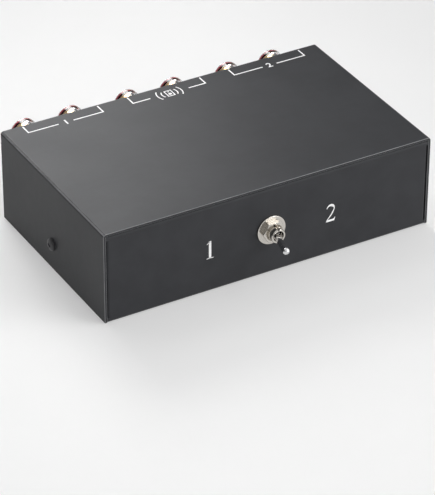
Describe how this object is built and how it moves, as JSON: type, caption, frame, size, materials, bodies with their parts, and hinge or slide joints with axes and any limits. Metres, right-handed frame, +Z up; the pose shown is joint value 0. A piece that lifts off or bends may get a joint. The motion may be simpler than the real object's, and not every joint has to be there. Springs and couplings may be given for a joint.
{
  "type": "speaker selector switch",
  "caption": "Flat sheet metal box with a toggle lever in front and rows of screw-cap binding posts behind that switches a loudspeaker pair between sources.",
  "frame": {"origin": "middle of the flat underside of the case", "axes": "+Z up, +X to the right seen from the toggle's side, +Y towards the binding posts at the rear"},
  "size_m": [0.143, 0.1118, 0.0385],
  "materials": {
    "case_black": "fine matt powder coat",
    "screw_black": "black zinc",
    "screw_bright": "bright zinc",
    "plastic_red": "moulded, glossy",
    "plastic_black": "moulded, glossy",
    "ring_red": "moulded, glossy",
    "ring_black": "moulded, glossy",
    "clear": "clear moulded plastic",
    "brass": "gold flashed",
    "brass_nut": "plain",
    "insulator": "moulded",
    "housing": "moulded",
    "nickel": "nickel plated",
    "steel": "zinc plated",
    "chrome": "polished"
  },
  "bodies": {
    "case": {"top_cover": "case_black", "base_tray": "case_black", "rear_panel": "case_black", "side_screws": "screw_black", "rear_screws": "screw_bright", "post_collars_red": "plastic_red", "post_collars_black": "plastic_black", "post_studs": "brass", "post_inner_plates": "insulator", "post_nuts": "brass_nut", "toggle_bushing": "nickel", "toggle_washer": "nickel", "toggle_lock_washer": "steel", "toggle_nuts": "nickel", "toggle_frame": "steel", "toggle_housing": "housing", "toggle_terminals": "brass_nut"},
    "lever": {"toggle_lever": "chrome", "toggle_actuator": "insulator"},
    "contacts": {"toggle_contacts": "brass"},
    "insert_amp1_left_plus": {"cap_insert_amp1_left_plus": "brass"},
    "cap_amp1_left_plus": {"cap_shell_amp1_left_plus": "clear", "cap_ring_amp1_left_plus": "ring_red"},
    "insert_amp1_left_minus": {"cap_insert_amp1_left_minus": "brass"},
    "cap_amp1_left_minus": {"cap_shell_amp1_left_minus": "clear", "cap_ring_amp1_left_minus": "ring_black"},
    "insert_amp1_right_plus": {"cap_insert_amp1_right_plus": "brass"},
    "cap_amp1_right_plus": {"cap_shell_amp1_right_plus": "clear", "cap_ring_amp1_right_plus": "ring_red"},
    "insert_amp1_right_minus": {"cap_insert_amp1_right_minus": "brass"},
    "cap_amp1_right_minus": {"cap_shell_amp1_right_minus": "clear", "cap_ring_amp1_right_minus": "ring_black"},
    "insert_speaker_left_plus": {"cap_insert_speaker_left_plus": "brass"},
    "cap_speaker_left_plus": {"cap_shell_speaker_left_plus": "clear", "cap_ring_speaker_left_plus": "ring_red"},
    "insert_speaker_left_minus": {"cap_insert_speaker_left_minus": "brass"},
    "cap_speaker_left_minus": {"cap_shell_speaker_left_minus": "clear", "cap_ring_speaker_left_minus": "ring_black"},
    "insert_speaker_right_plus": {"cap_insert_speaker_right_plus": "brass"},
    "cap_speaker_right_plus": {"cap_shell_speaker_right_plus": "clear", "cap_ring_speaker_right_plus": "ring_red"},
    "insert_speaker_right_minus": {"cap_insert_speaker_right_minus": "brass"},
    "cap_speaker_right_minus": {"cap_shell_speaker_right_minus": "clear", "cap_ring_speaker_right_minus": "ring_black"},
    "insert_amp2_left_plus": {"cap_insert_amp2_left_plus": "brass"},
    "cap_amp2_left_plus": {"cap_shell_amp2_left_plus": "clear", "cap_ring_amp2_left_plus": "ring_red"},
    "insert_amp2_left_minus": {"cap_insert_amp2_left_minus": "brass"},
    "cap_amp2_left_minus": {"cap_shell_amp2_left_minus": "clear", "cap_ring_amp2_left_minus": "ring_black"},
    "insert_amp2_right_plus": {"cap_insert_amp2_right_plus": "brass"},
    "cap_amp2_right_plus": {"cap_shell_amp2_right_plus": "clear", "cap_ring_amp2_right_plus": "ring_red"},
    "insert_amp2_right_minus": {"cap_insert_amp2_right_minus": "brass"},
    "cap_amp2_right_minus": {"cap_shell_amp2_right_minus": "clear", "cap_ring_amp2_right_minus": "ring_black"}
  },
  "joints": [
    {"name": "lever_swing", "type": "hinge", "parent": "case", "child": "lever", "pos_m": [0, -0.04415, 0.01925], "axis": [0, 0, 1], "range_deg": [0, 23]},
    {"name": "contact_rock", "type": "hinge", "parent": "case", "child": "contacts", "pos_m": [0, -0.03225, 0.01925], "axis": [0, 0, 1], "range_deg": [-16, 0]},
    {"name": "cap_travel_amp1_left_plus", "type": "slide", "parent": "case", "child": "insert_amp1_left_plus", "axis": [0, 1, 0], "range_m": [0, 0.004]},
    {"name": "cap_turn_amp1_left_plus", "type": "hinge", "parent": "insert_amp1_left_plus", "child": "cap_amp1_left_plus", "pos_m": [-0.055, 0.04175, 0.02877], "axis": [0, 1, 0], "range_deg": [0, 1440]},
    {"name": "cap_travel_amp1_left_minus", "type": "slide", "parent": "case", "child": "insert_amp1_left_minus", "axis": [0, 1, 0], "range_m": [0, 0.004]},
    {"name": "cap_turn_amp1_left_minus", "type": "hinge", "parent": "insert_amp1_left_minus", "child": "cap_amp1_left_minus", "pos_m": [-0.055, 0.04175, 0.00972], "axis": [0, 1, 0], "range_deg": [0, 1440]},
    {"name": "cap_travel_amp1_right_plus", "type": "slide", "parent": "case", "child": "insert_amp1_right_plus", "axis": [0, 1, 0], "range_m": [0, 0.004]},
    {"name": "cap_turn_amp1_right_plus", "type": "hinge", "parent": "insert_amp1_right_plus", "child": "cap_amp1_right_plus", "pos_m": [-0.035, 0.04175, 0.02877], "axis": [0, 1, 0], "range_deg": [0, 1440]},
    {"name": "cap_travel_amp1_right_minus", "type": "slide", "parent": "case", "child": "insert_amp1_right_minus", "axis": [0, 1, 0], "range_m": [0, 0.004]},
    {"name": "cap_turn_amp1_right_minus", "type": "hinge", "parent": "insert_amp1_right_minus", "child": "cap_amp1_right_minus", "pos_m": [-0.035, 0.04175, 0.00972], "axis": [0, 1, 0], "range_deg": [0, 1440]},
    {"name": "cap_travel_speaker_left_plus", "type": "slide", "parent": "case", "child": "insert_speaker_left_plus", "axis": [0, 1, 0], "range_m": [0, 0.004]},
    {"name": "cap_turn_speaker_left_plus", "type": "hinge", "parent": "insert_speaker_left_plus", "child": "cap_speaker_left_plus", "pos_m": [-0.01, 0.04175, 0.02877], "axis": [0, 1, 0], "range_deg": [0, 1440]},
    {"name": "cap_travel_speaker_left_minus", "type": "slide", "parent": "case", "child": "insert_speaker_left_minus", "axis": [0, 1, 0], "range_m": [0, 0.004]},
    {"name": "cap_turn_speaker_left_minus", "type": "hinge", "parent": "insert_speaker_left_minus", "child": "cap_speaker_left_minus", "pos_m": [-0.01, 0.04175, 0.00972], "axis": [0, 1, 0], "range_deg": [0, 1440]},
    {"name": "cap_travel_speaker_right_plus", "type": "slide", "parent": "case", "child": "insert_speaker_right_plus", "axis": [0, 1, 0], "range_m": [0, 0.004]},
    {"name": "cap_turn_speaker_right_plus", "type": "hinge", "parent": "insert_speaker_right_plus", "child": "cap_speaker_right_plus", "pos_m": [0.01, 0.04175, 0.02877], "axis": [0, 1, 0], "range_deg": [0, 1440]},
    {"name": "cap_travel_speaker_right_minus", "type": "slide", "parent": "case", "child": "insert_speaker_right_minus", "axis": [0, 1, 0], "range_m": [0, 0.004]},
    {"name": "cap_turn_speaker_right_minus", "type": "hinge", "parent": "insert_speaker_right_minus", "child": "cap_speaker_right_minus", "pos_m": [0.01, 0.04175, 0.00972], "axis": [0, 1, 0], "range_deg": [0, 1440]},
    {"name": "cap_travel_amp2_left_plus", "type": "slide", "parent": "case", "child": "insert_amp2_left_plus", "axis": [0, 1, 0], "range_m": [0, 0.004]},
    {"name": "cap_turn_amp2_left_plus", "type": "hinge", "parent": "insert_amp2_left_plus", "child": "cap_amp2_left_plus", "pos_m": [0.035, 0.04175, 0.02877], "axis": [0, 1, 0], "range_deg": [0, 1440]},
    {"name": "cap_travel_amp2_left_minus", "type": "slide", "parent": "case", "child": "insert_amp2_left_minus", "axis": [0, 1, 0], "range_m": [0, 0.004]},
    {"name": "cap_turn_amp2_left_minus", "type": "hinge", "parent": "insert_amp2_left_minus", "child": "cap_amp2_left_minus", "pos_m": [0.035, 0.04175, 0.00972], "axis": [0, 1, 0], "range_deg": [0, 1440]},
    {"name": "cap_travel_amp2_right_plus", "type": "slide", "parent": "case", "child": "insert_amp2_right_plus", "axis": [0, 1, 0], "range_m": [0, 0.004]},
    {"name": "cap_turn_amp2_right_plus", "type": "hinge", "parent": "insert_amp2_right_plus", "child": "cap_amp2_right_plus", "pos_m": [0.055, 0.04175, 0.02877], "axis": [0, 1, 0], "range_deg": [0, 1440]},
    {"name": "cap_travel_amp2_right_minus", "type": "slide", "parent": "case", "child": "insert_amp2_right_minus", "axis": [0, 1, 0], "range_m": [0, 0.004]},
    {"name": "cap_turn_amp2_right_minus", "type": "hinge", "parent": "insert_amp2_right_minus", "child": "cap_amp2_right_minus", "pos_m": [0.055, 0.04175, 0.00972], "axis": [0, 1, 0], "range_deg": [0, 1440]}
  ],
  "couplings": [
    {"joint": "contact_rock", "follows": "lever_swing", "ratio": -0.69565},
    {"joint": "cap_turn_amp1_left_plus", "follows": "cap_travel_amp1_left_plus", "rad_per_m": 6283.2},
    {"joint": "cap_turn_amp1_left_minus", "follows": "cap_travel_amp1_left_minus", "rad_per_m": 6283.2},
    {"joint": "cap_turn_amp1_right_plus", "follows": "cap_travel_amp1_right_plus", "rad_per_m": 6283.2},
    {"joint": "cap_turn_amp1_right_minus", "follows": "cap_travel_amp1_right_minus", "rad_per_m": 6283.2},
    {"joint": "cap_turn_speaker_left_plus", "follows": "cap_travel_speaker_left_plus", "rad_per_m": 6283.2},
    {"joint": "cap_turn_speaker_left_minus", "follows": "cap_travel_speaker_left_minus", "rad_per_m": 6283.2},
    {"joint": "cap_turn_speaker_right_plus", "follows": "cap_travel_speaker_right_plus", "rad_per_m": 6283.2},
    {"joint": "cap_turn_speaker_right_minus", "follows": "cap_travel_speaker_right_minus", "rad_per_m": 6283.2},
    {"joint": "cap_turn_amp2_left_plus", "follows": "cap_travel_amp2_left_plus", "rad_per_m": 6283.2},
    {"joint": "cap_turn_amp2_left_minus", "follows": "cap_travel_amp2_left_minus", "rad_per_m": 6283.2},
    {"joint": "cap_turn_amp2_right_plus", "follows": "cap_travel_amp2_right_plus", "rad_per_m": 6283.2},
    {"joint": "cap_turn_amp2_right_minus", "follows": "cap_travel_amp2_right_minus", "rad_per_m": 6283.2}
  ]
}
